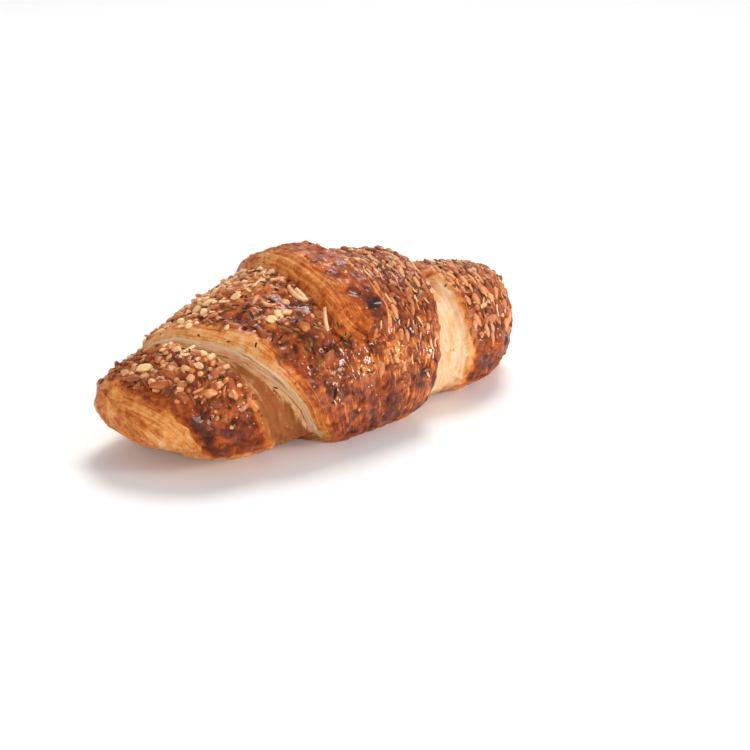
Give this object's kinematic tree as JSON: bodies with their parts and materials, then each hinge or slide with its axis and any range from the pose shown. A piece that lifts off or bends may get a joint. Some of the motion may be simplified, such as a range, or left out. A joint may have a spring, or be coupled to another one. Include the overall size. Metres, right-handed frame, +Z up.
{
  "type": "gouda cheese croissant",
  "caption": "Plump baked cheese croissant: a wound roll with a stepped middle wrap, a tongue of dough over the top, a pale torn gap at either side, and kernels on the crust.",
  "frame": {"origin": "centre of the bounding box's base, on the plane that the underside rests on", "axes": "+X along the roll towards the fuller end, -Y the front, where the tongue's tip lies, +Z up"},
  "size_m": [0.1666, 0.0868, 0.0554],
  "materials": {
    "crust": "browned, lightly glazed crust"
  },
  "bodies": {
    "root": {"croissant": "crust"}
  },
  "joints": []
}
